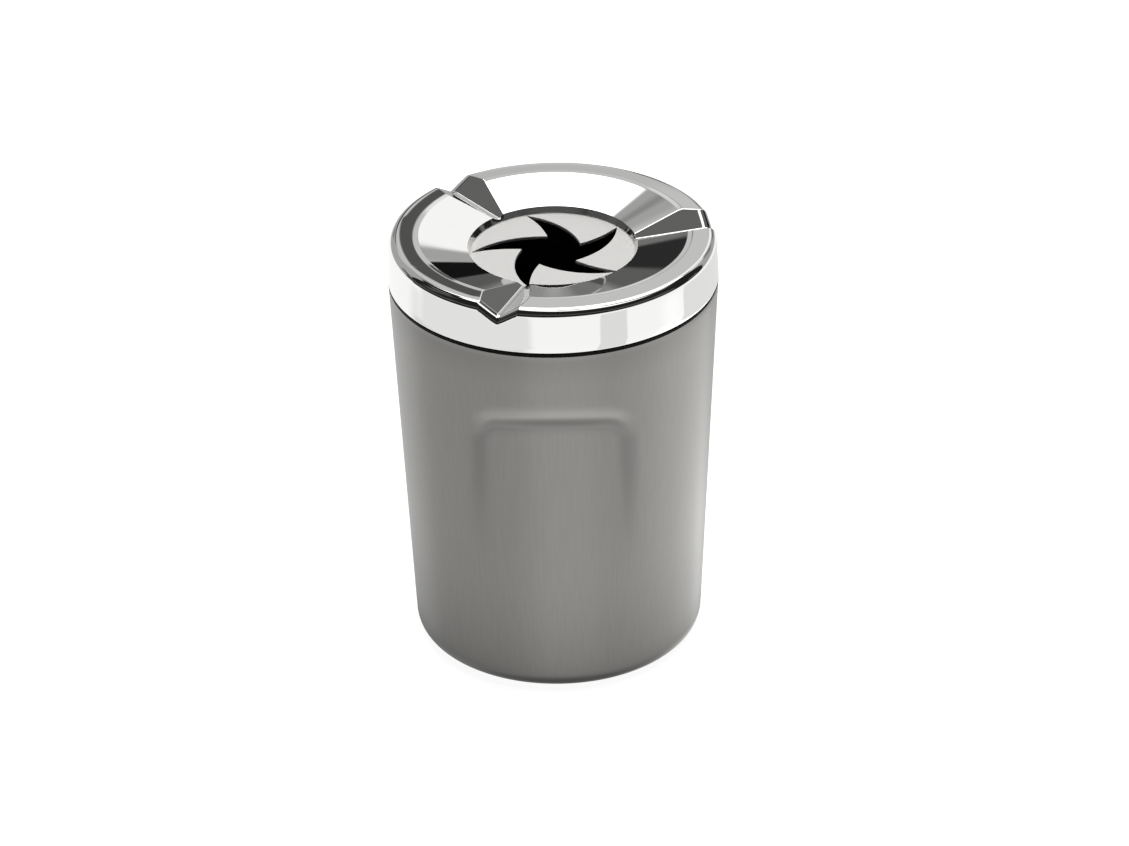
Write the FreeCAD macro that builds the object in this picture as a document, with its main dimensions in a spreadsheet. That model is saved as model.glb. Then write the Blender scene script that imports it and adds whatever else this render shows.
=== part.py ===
import FreeCAD, Part
import os
import re
import Sketcher

# Car ashtray: a drawn steel cup with a lift-off chrome lid.
# Units are millimetres. The cup stands on Z = 0, its axis is Z, and the pressed panel faces -Y.

doc = FreeCAD.newDocument("car_ashtray")
vector = FreeCAD.Vector

# Driving sizes: name, value, what it measures
size_list = [
    ("cup_height", 96.4, "cup rim above the table"),
    ("cup_mouth_radius", 40.0, "outside of the cup at its rim"),
    ("cup_foot_radius", 35.3, "outside of the tapered wall carried down to the table"),
    ("cup_wall", 0.8, "steel sheet of the cup"),
    ("cup_corner", 5.5, "outside rounding between wall and base"),
    ("dish_radius", 24.0, "flat middle of the base that is pressed up"),
    ("dish_height", 1.2, "how far the middle of the base is pressed up"),
    ("dish_slope", 1.6, "radial width of the slope round the pressed middle"),
    ("panel_half_width", 18.2, "half the width of the front panel at its floor"),
    ("panel_top", 76.6, "upper edge of the front panel at its floor"),
    ("panel_fade", 38.0, "height at which the panel floor runs out into the wall"),
    ("panel_depth", 1.2, "depth of the panel at its upper edge"),
    ("panel_corner", 5.0, "rounding of the upper panel corners"),
    ("panel_draft", 12.0, "slope of the panel sides in degrees"),
    ("panel_start", 29.0, "distance of the panel outline plane from the axis"),
    ("seal_gap", 0.8, "height of the dark line between cup and lid"),
    ("lid_height", 11.4, "lid from its lower edge to the rim"),
    ("lid_overhang", 0.1, "lower edge of the lid beyond the cup rim"),
    ("lid_draft", 0.6, "narrowing of the skirt from its lower edge up to the rim"),
    ("lid_wall", 1.8, "cast wall of the lid"),
    ("shoulder", 2.1, "rounding between skirt and rim"),
    ("rim_width", 5.8, "flat rim with its rounded shoulder"),
    ("bevel_width", 1.2, "width of the bevel between rim and funnel"),
    ("rim_bevel", 0.2, "drop of the bevel between rim and funnel"),
    ("funnel_drop", 3.4, "rim to the lower end of the funnel"),
    ("throat_radius", 19.75, "opening just above the snuffer plate"),
    ("neck_flare", 0.8, "lower end of the funnel behind the throat"),
    ("neck_height", 1.45, "funnel end down to the snuffer plate"),
    ("groove_turn", 11.4, "direction of the first cigarette rest in degrees"),
    ("groove_count", 3, "number of cigarette rests"),
    ("groove_floor", 0.4, "half the width of a rest at its bottom"),
    ("groove_flare", 1.65, "sideways spread of a rest wall for each millimetre of height"),
    ("groove_depth", 2.9, "rim to the bottom of a rest at the skirt"),
    ("groove_fall", 0.063, "inward fall of a rest for each millimetre of length"),
    ("trough_wall", 1.4, "wall under a rest"),
    ("plate_seat", 4.25, "width of the snuffer plate that bears on the lid"),
    ("plate_thickness", 0.8, "steel sheet of the snuffer plate"),
    ("arm_count", 5, "arms of the pinwheel opening"),
    ("arm_turn", 110.4, "direction of the first arm tip in degrees"),
    ("arm_margin", 0.45, "tip of an arm inside the throat"),
    ("blade_radius", 7.5, "point of a blade from the axis"),
    ("blade_lag", 9.4, "turn from an arm tip back to the point of its blade in degrees"),
    ("long_edge_bulge", 2.6, "rise of the long blade edge over its chord"),
    ("short_edge_bulge", 0.75, "rise of the short blade edge over its chord"),
    ("seat_gap", 0.25, "play between the plate and the lip that centres it"),
    ("seat_lip", 1.5, "wall of the lip that centres the plate"),
    ("seat_lip_height", 1.6, "height of the lip that centres the plate"),
    ("seal_room", 1.6, "room for the seal between collar and cup rim"),
    ("plug_wall", 1.8, "wall of the collar"),
    ("plug_length", 9.2, "collar below the lower edge of the lid"),
    ("web_rise", 0.8, "lower face of the collar web above the lower edge of the lid"),
    ("web_thickness", 1.6, "collar web"),
    ("clamp_relief", 0.85, "opening through the collar behind the throat of the lid"),
    ("seal_play", 0.05, "play between collar and seal"),
    ("seal_wall", 0.65, "sleeve of the seal"),
    ("seal_length", 5.8, "sleeve of the seal below the cup rim"),
    ("seal_setback", 0.3, "outer edge of the seal behind the cup wall"),
    ("seal_lip", 0.3, "how far the sealing lips stand out from the sleeve"),
    ("seal_lip_pitch", 2.2, "spacing of the two sealing lips"),
    ("screw_shank", 2.5, "diameter of a screw shank"),
    ("screw_length", 6.0, "shank under the head"),
    ("screw_head", 4.6, "diameter of a screw head"),
    ("screw_head_height", 1.6, "height of a screw head"),
    ("screw_slot", 0.7, "width of the cross recess"),
    ("screw_slot_length", 2.6, "length of the cross recess"),
    ("screw_slot_depth", 0.8, "depth of the cross recess"),
    ("screw_play", 0.1, "play of the shank in its boss"),
    ("hole_play", 0.4, "play of the shank in the collar web"),
    ("boss_diameter", 6.4, "boss under the lid for a screw"),
    ("boss_reach", 0.7, "depth of a boss hole past the screw tip"),
]
sizes = {}
sheet = doc.addObject("Spreadsheet::Sheet", "sizes")
for row, (name, value, note) in enumerate(size_list, start=1):
    sheet.set("A%d" % row, name)
    sheet.set("B%d" % row, str(value))
    sheet.set("C%d" % row, note)
    sheet.setAlias("B%d" % row, name)
    sizes[name] = value
doc.recompute()

# Heights, radii and slopes that several pieces share, worked out from the driving sizes
shared = {
    "cup_taper": "((cup_mouth_radius - cup_foot_radius) / cup_height)",
    "panel_floor_grade": "(cup_taper - panel_depth / (panel_top - panel_fade))",
    "lid_base": "(cup_height + seal_gap)",
    "lid_rim": "(lid_base + lid_height)",
    "lid_skirt_radius": "(cup_mouth_radius + lid_overhang)",
    "lid_top_radius": "(lid_skirt_radius - lid_draft)",
    "rim_inner_radius": "(lid_top_radius - rim_width)",
    "funnel_top_radius": "(rim_inner_radius - bevel_width)",
    "funnel_end": "(lid_rim - funnel_drop)",
    "neck_radius": "(throat_radius + neck_flare)",
    "funnel_grade": "((funnel_drop - rim_bevel) / (funnel_top_radius - neck_radius))",
    "plate_face": "(funnel_end - neck_height)",
    "plate_radius": "(throat_radius + plate_seat)",
    "arm_tip_radius": "(throat_radius - arm_margin)",
    "seat_radius": "(plate_radius + seat_gap)",
    "clamp_radius": "(throat_radius + clamp_relief)",
    "plug_radius": "(cup_mouth_radius - cup_wall - seal_room)",
    "web_floor": "(lid_base + web_rise)",
    "web_face": "(web_floor + web_thickness)",
    "screw_circle": "((seat_radius + seat_lip + plug_radius - plug_wall) / 2)",
}


def bound(text):
    """Turn a formula of plain size names into one that reads the sheet."""
    for name in reversed(shared):
        text = re.sub(r"\b%s\b" % name, shared[name], text)
    return re.sub(r"\b[a-z_]+\b", lambda word: "sizes." + word[0] if word[0] in sizes else word[0], text)


def value_of(text):
    """Present value of a formula of size names."""
    result = sheet.evalExpression(bound(text))
    return float(getattr(result, "Value", result))


def new_body(name):
    return doc.addObject("PartDesign::Body", name)


def plane_of(body, role):
    return next(item for item in body.Origin.OriginFeatures if item.Role == role)


def new_sketch(body, name, role, offset=None):
    """Sketch on one of the body's own planes, shifted along the plane's normal by a formula."""
    sketch = body.newObject("Sketcher::SketchObject", name)
    sketch.AttachmentSupport = [(plane_of(body, role), "")]
    sketch.MapMode = "FlatFace"
    if offset:
        sketch.setExpression("AttachmentOffset.Base.z", bound(offset))
    return sketch


def hold_point(sketch, line, end, across, up):
    """Tie one end of a line to two formulas measured from the sketch origin."""
    for kind, formula in (("DistanceX", across), ("DistanceY", up)):
        number = value_of(formula)
        constraint = sketch.addConstraint(Sketcher.Constraint(kind, -1, 1, line, end, number))
        sketch.setExpression("Constraints[%d]" % constraint, bound(formula))


def add_outline(sketch, points):
    """Closed outline of straight lines through points given as pairs of formulas."""
    places = [vector(value_of(across), value_of(up), 0) for across, up in points]
    count = len(points)
    lines = []
    for number in range(count):
        line = Part.LineSegment(places[number], places[(number + 1) % count])
        lines.append(sketch.addGeometry(line, False))
    for number in range(count):
        follower = lines[(number + 1) % count]
        sketch.addConstraint(Sketcher.Constraint("Coincident", lines[number], 2, follower, 1))
    for line, (across, up) in zip(lines, points):
        hold_point(sketch, line, 1, across, up)


def turned_body(name, points):
    """Body turned round Z from a half section given as radius and height formulas."""
    body = new_body(name)
    sketch = new_sketch(body, name + "_section", "XZ_Plane")
    add_outline(sketch, points)
    turn = body.newObject("PartDesign::Revolution", name + "_turn")
    turn.Profile = sketch
    turn.ReferenceAxis = (sketch, ["V_Axis"])
    turn.Angle = 360
    doc.recompute()
    return body


def round_edges(body, name, radius, wanted):
    """Round the edges of a body's last feature that a test picks out."""
    feature = body.Tip
    edges = ["Edge%d" % (number + 1) for number, edge in enumerate(feature.Shape.Edges) if wanted(edge)]
    if not edges:
        raise ValueError("no edge to round for " + name)
    fillet = body.newObject("PartDesign::Fillet", name)
    fillet.Base = (feature, edges)
    fillet.setExpression("Radius", bound(radius))
    doc.recompute()
    return fillet


def ring_edge(radius, height):
    """Test for a full circle round Z at a radius and height."""
    def wanted(edge):
        curve = edge.Curve
        if curve.TypeId != "Part::GeomCircle":
            return False
        return abs(curve.Radius - value_of(radius)) < 1e-4 and abs(curve.Center.z - value_of(height)) < 1e-4
    return wanted


def cut(name, base, tool):
    result = doc.addObject("Part::Cut", name)
    result.Base = base
    result.Tool = tool
    return result


def join(name, members):
    result = doc.addObject("Part::MultiFuse", name)
    result.Shapes = members
    return result


def turn_about_axis(body, degrees):
    """Turn a whole body about Z by a formula in degrees."""
    body.Placement = FreeCAD.Placement(vector(0, 0, 0), FreeCAD.Rotation(vector(0, 0, 1), 1))
    body.setExpression(".Placement.Rotation.Angle", "(%s) * 1 deg" % bound(degrees))


# Drawn cup: outside and inside forms, each with the pressed panel, then one taken from the other
foot_line = "cup_foot_radius"
cup_blank = turned_body("cup_blank", [
    ("0", "dish_height"),
    ("dish_radius", "dish_height"),
    ("dish_radius + dish_slope", "0"),
    (foot_line, "0"),
    ("cup_mouth_radius", "cup_height"),
    ("0", "cup_height"),
])
round_edges(cup_blank, "cup_blank_corner", "cup_corner", ring_edge(foot_line, "0"))

cavity_foot = "cup_foot_radius + cup_taper * cup_wall - cup_wall"
cup_cavity = turned_body("cup_cavity", [
    ("0", "dish_height + cup_wall"),
    ("dish_radius + cup_wall / 2", "dish_height + cup_wall"),
    ("dish_radius + dish_slope + cup_wall / 2", "cup_wall"),
    (cavity_foot, "cup_wall"),
    ("cup_mouth_radius - cup_wall + cup_taper * 5", "cup_height + 5"),
    ("0", "cup_height + 5"),
])
round_edges(cup_cavity, "cup_cavity_corner", "cup_corner - cup_wall", ring_edge(cavity_foot, "cup_wall"))


def pressed_form(name, blank, grow):
    """A cup form with the front panel taken out, the panel outline grown by a formula."""
    below = "(panel_fade - 6)"
    above = "(panel_top + 8)"
    floor_at = "cup_foot_radius + cup_taper * panel_fade - (%s) + panel_floor_grade * (%s - panel_fade)"
    core = turned_body(name + "_core", [
        ("0", below),
        (floor_at % (grow, below), below),
        (floor_at % (grow, above), above),
        ("0", above),
    ])
    block = new_body(name + "_block")
    outline = new_sketch(block, name + "_outline", "XZ_Plane", "panel_start - (%s)" % grow)
    add_outline(outline, [
        ("0 - panel_half_width - (%s)" % grow, "panel_fade - 4"),
        ("panel_half_width + (%s)" % grow, "panel_fade - 4"),
        ("panel_half_width + (%s)" % grow, "panel_top + (%s)" % grow),
        ("0 - panel_half_width - (%s)" % grow, "panel_top + (%s)" % grow),
    ])
    pad = block.newObject("PartDesign::Pad", name + "_pad")
    pad.Profile = outline
    pad.setExpression("Length", bound("cup_mouth_radius - panel_start + 4"))
    pad.setExpression("TaperAngle", bound("panel_draft"))
    doc.recompute()
    upper = value_of("(panel_top + panel_fade) / 2")

    def upper_corner(edge):
        ends = [vertex.Point for vertex in edge.Vertexes]
        return all(end.z > upper for end in ends) and abs(ends[0].y - ends[1].y) > 1

    round_edges(block, name + "_corners", "panel_corner + (%s)" % grow, upper_corner)
    tool = cut(name + "_tool", block, core)
    return cut(name, blank, tool)


cup_outside = pressed_form("cup_outside", cup_blank, "0")
cup_inside = pressed_form("cup_inside", cup_cavity, "cup_wall")
cup = cut("cup", cup_outside, cup_inside)

# Cast lid: outside form, hollow underside, three cigarette rests and the screw bosses
lid_blank = turned_body("lid_blank", [
    ("throat_radius", "lid_base"),
    ("lid_skirt_radius", "lid_base"),
    ("lid_top_radius", "lid_rim"),
    ("rim_inner_radius", "lid_rim"),
    ("funnel_top_radius", "lid_rim - rim_bevel"),
    ("neck_radius", "funnel_end"),
    ("throat_radius", "plate_face"),
])
round_edges(lid_blank, "lid_shoulder", "shoulder", ring_edge("lid_top_radius", "lid_rim"))

underside_at_lip = "funnel_end + funnel_grade * (seat_radius + seat_lip - neck_radius) - lid_wall"
lid_hollow = turned_body("lid_hollow", [
    ("throat_radius - 2", "lid_base - 5"),
    ("lid_skirt_radius - lid_wall", "lid_base - 5"),
    ("lid_skirt_radius - lid_wall", "lid_base"),
    ("lid_top_radius - lid_wall", "lid_rim - lid_wall - shoulder / 2"),
    ("lid_top_radius - lid_wall - shoulder / 2", "lid_rim - lid_wall"),
    ("funnel_top_radius", "lid_rim - rim_bevel - lid_wall"),
    ("seat_radius + seat_lip", underside_at_lip),
    ("seat_radius + seat_lip", "plate_face - seat_lip_height"),
    ("seat_radius", "plate_face - seat_lip_height"),
    ("seat_radius", "plate_face"),
    ("throat_radius - 2", "plate_face"),
])


def rest_wedge(name, number, start, grow):
    """One cigarette rest as a wedge that falls inward from the skirt to a start radius, grown by a formula."""
    body = new_body(name)
    top = "(lid_rim + 6)"
    sections = []
    for place, station in (("inner", "(%s)" % start), ("outer", "(lid_skirt_radius + 4)")):
        true_floor = "(lid_rim - groove_depth - groove_fall * (lid_top_radius - %s))" % station
        floor = "(%s - (%s))" % (true_floor, grow)
        corner = "(groove_floor + (%s) * (sqrt(1 + groove_flare ^ 2) - groove_flare))" % grow
        mouth = "(%s + groove_flare * (%s - %s))" % (corner, top, floor)
        sketch = new_sketch(body, "%s_%s" % (name, place), "YZ_Plane", station)
        add_outline(sketch, [
            ("0 - " + corner, floor),
            (corner, floor),
            (mouth, top),
            ("0 - " + mouth, top),
        ])
        sections.append(sketch)
    loft = body.newObject("PartDesign::AdditiveLoft", name + "_loft")
    loft.Profile = sections[0]
    loft.Sections = [sections[1]]
    loft.Ruled = True
    turn_about_axis(body, "groove_turn + %d * 360 / groove_count" % number)
    doc.recompute()
    return body


def put_at_screw(item, foot, number):
    """Stand an object on a height at one of the screw places, midway between two rests."""
    turn = bound("(groove_turn + (%d + 0.5) * 360 / groove_count)" % number)
    item.setExpression(".Placement.Base.x", "%s * cos(%s * 1 deg)" % (bound("screw_circle"), turn))
    item.setExpression(".Placement.Base.y", "%s * sin(%s * 1 deg)" % (bound("screw_circle"), turn))
    item.setExpression(".Placement.Base.z", bound(foot))


def post(name, diameter, foot, length, number):
    """Upright cylinder at one of the screw places."""
    cylinder = doc.addObject("Part::Cylinder", name)
    cylinder.setExpression("Radius", bound("(%s) / 2" % diameter))
    cylinder.setExpression("Height", bound(length))
    put_at_screw(cylinder, foot, number)
    return cylinder


places = range(int(sizes["groove_count"]))
trough_start = "seat_radius + seat_lip / 2"
rests = [rest_wedge("rest_%d" % number, number, "throat_radius - 4", "0") for number in places]
troughs = [rest_wedge("trough_%d" % number, number, trough_start, "trough_wall") for number in places]
bosses = [post("boss_%d" % number, "boss_diameter", "web_face", "lid_height", number) for number in places]
hole_length = "screw_length - web_thickness + boss_reach"
boss_holes = [post("boss_hole_%d" % number, "screw_shank + screw_play", "web_face", hole_length, number)
              for number in places]
lid_solid_places = join("lid_solid_places", troughs + bosses)
lid_open_space = cut("lid_open_space", lid_hollow, lid_solid_places)
lid_cast = cut("lid_cast", lid_blank, lid_open_space)
lid_cutouts = join("lid_cutouts", rests + boss_holes)
lid = cut("lid", lid_cast, lid_cutouts)

# Snuffer plate: a stamped disc with a pinwheel opening
snuffer_plate = new_body("snuffer_plate")
disc_sketch = new_sketch(snuffer_plate, "plate_disc", "XY_Plane", "plate_face - plate_thickness")
disc_radius = value_of("plate_radius")
disc_sketch.addGeometry(Part.Circle(vector(0, 0, 0), vector(0, 0, 1), disc_radius), False)
disc_sketch.addConstraint(Sketcher.Constraint("Coincident", 0, 3, -1, 1))
disc_edge = disc_sketch.addConstraint(Sketcher.Constraint("Radius", 0, disc_radius))
disc_sketch.setExpression("Constraints[%d]" % disc_edge, bound("plate_radius"))
disc_pad = snuffer_plate.newObject("PartDesign::Pad", "plate_pad")
disc_pad.Profile = disc_sketch
disc_pad.setExpression("Length", bound("plate_thickness"))
doc.recompute()



def polar(radius, turn):
    """Place at a radius and a direction in degrees, both formulas."""
    return ("%s * cos((%s) * 1 deg)" % (radius, turn), "%s * sin((%s) * 1 deg)" % (radius, turn))


def place_of(point):
    return vector(value_of(point[0]), value_of(point[1]), 0)


def bulged_edge(sketch, start, end, bulge):
    """Arc between two places that rises over its chord by a formula, to the right of start to end."""
    first = place_of(start)
    last = place_of(end)
    along = (last - first).normalize()
    right = vector(along.y, -along.x, 0)
    middle = (first + last) * 0.5 + right * value_of(bulge)
    arc = sketch.addGeometry(Part.Arc(first, middle, last), False)
    chord_squared = "((%s - %s) ^ 2 + (%s - %s) ^ 2)" % (end[0], start[0], end[1], start[1])
    radius = "(%s / (8 * %s) + %s / 2)" % (chord_squared, bulge, bulge)
    number = sketch.addConstraint(Sketcher.Constraint("Radius", arc, value_of(radius)))
    sketch.setExpression("Constraints[%d]" % number, bound(radius))
    return arc


# One arm: two spokes from the axis to the neighbouring blade points, and the two blade edges out to the tip
arm_sketch = new_sketch(snuffer_plate, "plate_arm", "XY_Plane", "plate_face")
tip = polar("arm_tip_radius", "arm_turn")
near_point = polar("blade_radius", "arm_turn - blade_lag")
far_point = polar("blade_radius", "arm_turn - blade_lag - 360 / arm_count")
axis_point = vector(0, 0, 0)
near_spoke = arm_sketch.addGeometry(Part.LineSegment(axis_point, place_of(near_point)), False)
far_spoke = arm_sketch.addGeometry(Part.LineSegment(axis_point, place_of(far_point)), False)
for spoke, point in ((near_spoke, near_point), (far_spoke, far_point)):
    arm_sketch.addConstraint(Sketcher.Constraint("Coincident", spoke, 1, -1, 1))
    hold_point(arm_sketch, spoke, 2, *point)
short_edge = bulged_edge(arm_sketch, near_point, tip, "short_edge_bulge")
long_edge = bulged_edge(arm_sketch, far_point, tip, "long_edge_bulge")
arm_sketch.addConstraint(Sketcher.Constraint("Coincident", short_edge, 1, near_spoke, 2))
arm_sketch.addConstraint(Sketcher.Constraint("Coincident", long_edge, 1, far_spoke, 2))
arm_sketch.addConstraint(Sketcher.Constraint("Coincident", short_edge, 2, long_edge, 2))
hold_point(arm_sketch, short_edge, 2, *tip)
arm_pocket = snuffer_plate.newObject("PartDesign::Pocket", "plate_arm_cut")
arm_pocket.Profile = arm_sketch
arm_pocket.Type = "ThroughAll"
doc.recompute()
arm_pattern = snuffer_plate.newObject("PartDesign::PolarPattern", "plate_arms")
arm_pattern.Originals = [arm_pocket]
arm_pattern.Axis = (plane_of(snuffer_plate, "Z_Axis"), [""])
arm_pattern.Angle = 360
arm_pattern.setExpression("Occurrences", bound("arm_count"))
snuffer_plate.Tip = arm_pattern
doc.recompute()

# Plastic collar: plug wall inside the cup, web with screw holes, ring that holds the plate up
plate_back = "plate_face - plate_thickness"
clamp_outside = "plate_radius - seat_gap"
collar_blank = turned_body("collar_blank", [
    ("plug_radius - plug_wall", "lid_base - plug_length"),
    ("plug_radius", "lid_base - plug_length"),
    ("plug_radius", "web_face"),
    (clamp_outside, "web_face"),
    (clamp_outside, plate_back),
    ("clamp_radius", plate_back),
    ("clamp_radius", "web_floor"),
    ("plug_radius - plug_wall", "web_floor"),
])
web_holes = [post("web_hole_%d" % number, "screw_shank + hole_play", "web_floor - 1", "web_thickness + 2", number)
             for number in places]
lid_collar = cut("lid_collar", collar_blank, join("web_holes", web_holes))

# Rubber seal: a flange that shows as the dark line, and a sleeve with two lips inside the cup
sleeve = "plug_radius + seal_play + seal_wall"
seal_points = [
    ("plug_radius + seal_play", "lid_base"),
    ("cup_mouth_radius - seal_setback", "lid_base"),
    ("cup_mouth_radius - seal_setback", "cup_height"),
    (sleeve, "cup_height"),
]
for number in (1, 2):
    lip = "cup_height - seal_lip_pitch * %d" % number
    seal_points.append((sleeve, lip + " + seal_lip"))
    seal_points.append((sleeve + " + seal_lip", lip))
    seal_points.append((sleeve, lip + " - seal_lip"))
seal_points.append((sleeve, "cup_height - seal_length"))
seal_points.append(("plug_radius + seal_play", "cup_height - seal_length"))
seal_ring = turned_body("seal_ring", seal_points)


def screw(name, number):
    """Pan-head screw with a cross recess, driven up through the collar into a boss."""
    body = turned_body(name, [
        ("0", "0 - screw_head_height"),
        ("screw_head * 0.36", "0 - screw_head_height"),
        ("screw_head / 2", "0 - screw_head_height * 0.6"),
        ("screw_head / 2", "0"),
        ("screw_shank / 2", "0"),
        ("screw_shank / 2", "screw_length - screw_shank / 2"),
        ("screw_shank / 6", "screw_length"),
        ("0", "screw_length"),
    ])
    recess = new_sketch(body, name + "_cross", "XY_Plane", "0 - screw_head_height")
    half = "screw_slot / 2"
    reach = "screw_slot_length / 2"
    quarter = [(reach, half), (half, half), (half, reach)]
    outline = []
    for turn in range(4):
        for across, up in quarter:
            for step in range(turn):
                across, up = "0 - (%s)" % up, across
            outline.append((across, up))
    add_outline(recess, outline)
    pocket = body.newObject("PartDesign::Pocket", name + "_recess")
    pocket.Profile = recess
    pocket.Reversed = True
    pocket.setExpression("Length", bound("screw_slot_depth"))
    put_at_screw(body, "web_floor", number)
    doc.recompute()
    return body


lid_screws = doc.addObject("Part::Compound", "lid_screws")
lid_screws.Links = [screw("screw_%d" % number, number) for number in places]
doc.recompute()

# Checks and files
for item in doc.Objects:
    if "Invalid" in item.State or "Error" in item.State:
        raise ValueError("%s did not build: %s" % (item.Label, item.State))
os.makedirs("parts", exist_ok=True)
for piece in (cup, lid, snuffer_plate, lid_collar, seal_ring, lid_screws):
    if piece.Shape.isNull() or not piece.Shape.isValid():
        raise ValueError("%s has no valid shape" % piece.Label)
    piece.Shape.exportStep("parts/%s.step" % piece.Label)
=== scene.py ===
import math

import bpy
from mathutils import Matrix, Vector


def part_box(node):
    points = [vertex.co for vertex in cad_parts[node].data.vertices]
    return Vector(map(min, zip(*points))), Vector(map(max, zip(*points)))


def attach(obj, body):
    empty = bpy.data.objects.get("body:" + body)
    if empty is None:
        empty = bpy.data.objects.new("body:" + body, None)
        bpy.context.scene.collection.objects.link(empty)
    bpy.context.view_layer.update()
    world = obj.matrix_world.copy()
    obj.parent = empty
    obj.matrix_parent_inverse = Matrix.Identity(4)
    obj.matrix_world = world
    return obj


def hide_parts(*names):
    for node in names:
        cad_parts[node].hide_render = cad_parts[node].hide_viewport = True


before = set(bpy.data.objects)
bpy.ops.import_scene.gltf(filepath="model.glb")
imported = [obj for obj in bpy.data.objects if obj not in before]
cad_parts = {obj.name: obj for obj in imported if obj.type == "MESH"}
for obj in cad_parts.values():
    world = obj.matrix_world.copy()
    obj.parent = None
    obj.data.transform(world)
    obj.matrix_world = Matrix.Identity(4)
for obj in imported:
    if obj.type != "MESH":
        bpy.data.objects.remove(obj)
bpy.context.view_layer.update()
scene = bpy.context.scene

# Sizes of the ashtray in metres, measured on the frame where it has them
mm = 0.001
cup_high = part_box("cup")[1]
lid_low, lid_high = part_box("lid")
plate_low, plate_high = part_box("snuffer_plate")

cup_height = cup_high.z
cup_mouth_radius = cup_high.x
cup_foot_radius = 35.3 * mm
cup_wall = 0.8 * mm
cup_corner = 5.5 * mm
dish_radius = 24.0 * mm
dish_height = 1.2 * mm
dish_slope = 1.6 * mm
cup_lip_round = 0.3 * mm

panel_half_width = 19.4 * mm
panel_top = 78.6 * mm
panel_fade = 36.0 * mm
panel_fade_margin = 0.15
panel_depth = 0.85 * mm
panel_corner = 6.5 * mm
panel_arch = 2.2 * mm
panel_brow = 1.5 * mm
panel_foot = 2.9 * mm
# Painted highlight on the brow over the panel: how far it reaches, and where it fades from the top to the
# sides
brow_highlight_reach = 1.5 * mm
brow_side_low = -2.0 * mm
brow_side_high = 6.0 * mm
# Painted shade in the crease inside the panel's edge: how far it reaches, and the heights over which it
# comes in
crease_shade_reach = 2.0 * mm
crease_shade_low = 30.0 * mm
crease_shade_high = 72.0 * mm
# Painted shadow of the lid on the cup: how far below the lip it reaches, and its strength
lid_shadow_reach = 10.0 * mm
lid_shadow_strength = 0.55

lid_base = lid_low.z
lid_rim = lid_high.z
lid_skirt_radius = lid_high.x
lid_draft = 0.6 * mm
lid_wall = 1.8 * mm
shoulder = 2.1 * mm
skirt_edge = 0.3 * mm
rim_inner_radius = 33.75 * mm
funnel_top_radius = 32.5 * mm
rim_bevel = 0.2 * mm
rim_crown = math.tan(math.radians(3.5))
funnel_drop = 3.3 * mm
neck_radius = 20.55 * mm
throat_radius = 19.75 * mm
plate_face = plate_high.z
lid_edge_round = 0.18 * mm
neck_edge_round = 0.045 * mm

rest_count = 3
rest_turn = math.radians(11.4)
rest_floor = 0.4 * mm
rest_flare = 1.65
rest_depth = 2.9 * mm
rest_fall = 0.063
trough_wall = 1.4 * mm

seat_radius = 24.25 * mm
seat_lip = 1.5 * mm
seat_lip_height = 1.6 * mm
seal_bead_inset = 0.06 * mm
seal_bead_width = 1.6 * mm
seal_bead_clearance = 0.04 * mm
seal_bead_round = 0.12 * mm

arm_count = 5
arm_turn = math.radians(110.4)
arm_tip_radius = 19.65 * mm
blade_radius = 7.5 * mm
blade_lag = math.radians(9.4)
long_edge_bulge = 2.6 * mm
short_edge_bulge = 0.75 * mm
plate_edge = 0.1 * mm
plate_crease = math.radians(35)

# Steps of the meshes
circle_steps = 180
base_shares = (0.05, 0.4, 0.8, 1)
slope_shares = (0.2, 0.4, 0.6, 0.8, 1)
cup_corner_steps = 12
cup_lip_steps = 9
panel_band_below = 12.0 * mm
panel_band_above = 2.0 * mm
outside_rows = (50, 64, 12)
inside_rows = (20, 24, 6)
land_columns = 64
rest_shares = (0.25, 0.5, 0.75, 1)
rest_foot = 1e-9
neck_rows = 3
funnel_rows = 9
bevel_rows = 2
rim_rows = 4
shoulder_rows = 8
skirt_rows = 5
skirt_edge_rows = 3
edge_segments = 3
long_edge_steps = 24
short_edge_steps = 14
bead_round_steps = 5


def linear(hex_colour):
    """Linear colour of an sRGB hex value."""
    channels = [int(hex_colour[place:place + 2], 16) / 255 for place in (1, 3, 5)]
    return [part / 12.92 if part <= 0.04045 else ((part + 0.055) / 1.055) ** 2.4 for part in channels]


def add_node(tree, kind, settings=None, inputs=None):
    """Add a node, set its properties, and set or link its inputs."""
    node = tree.nodes.new(kind)
    for name, value in (settings or {}).items():
        setattr(node, name, value)
    for name, value in (inputs or {}).items():
        if isinstance(value, bpy.types.NodeSocket):
            tree.links.new(value, node.inputs[name])
        else:
            node.inputs[name].default_value = value
    return node


def new_material(name):
    """Empty material with a Principled shader joined to its output."""
    material = bpy.data.materials.new(name)
    material.use_nodes = True
    tree = material.node_tree
    tree.nodes.clear()
    shader = add_node(tree, "ShaderNodeBsdfPrincipled")
    add_node(tree, "ShaderNodeOutputMaterial", inputs={"Surface": shader.outputs["BSDF"]})
    return material, tree, shader


def mesh_piece(name, points, faces, material, body, replaced=None):
    """Smooth mesh object in the row frame that rides on a body."""
    mesh = bpy.data.meshes.new(name)
    mesh.from_pydata(points, [], faces)
    mesh.validate()
    mesh.shade_smooth()
    piece = bpy.data.objects.new(name, mesh)
    scene.collection.objects.link(piece)
    piece.data.materials.append(material)
    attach(piece, body)
    if replaced:
        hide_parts(replaced)
    return piece


def smooth_step(value, low, high):
    """Rise from 0 at low to 1 at high, level at both ends."""
    share = min(1, max(0, (value - low) / (high - low)))
    return share * share * (3 - 2 * share)


def spread(low, high, count):
    """Evenly spaced values from low to high, both included."""
    return [low + (high - low) * step / (count - 1) for step in range(count)]


def ring_faces(row_count, column_count, close_rows):
    """Quads of a grid whose columns go round, and whose rows may too."""
    faces = []
    for row in range(row_count if close_rows else row_count - 1):
        upper = (row + 1) % row_count
        for column in range(column_count):
            after = (column + 1) % column_count
            faces.append((row * column_count + column, row * column_count + after,
                          upper * column_count + after, upper * column_count + column))
    return faces
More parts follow.
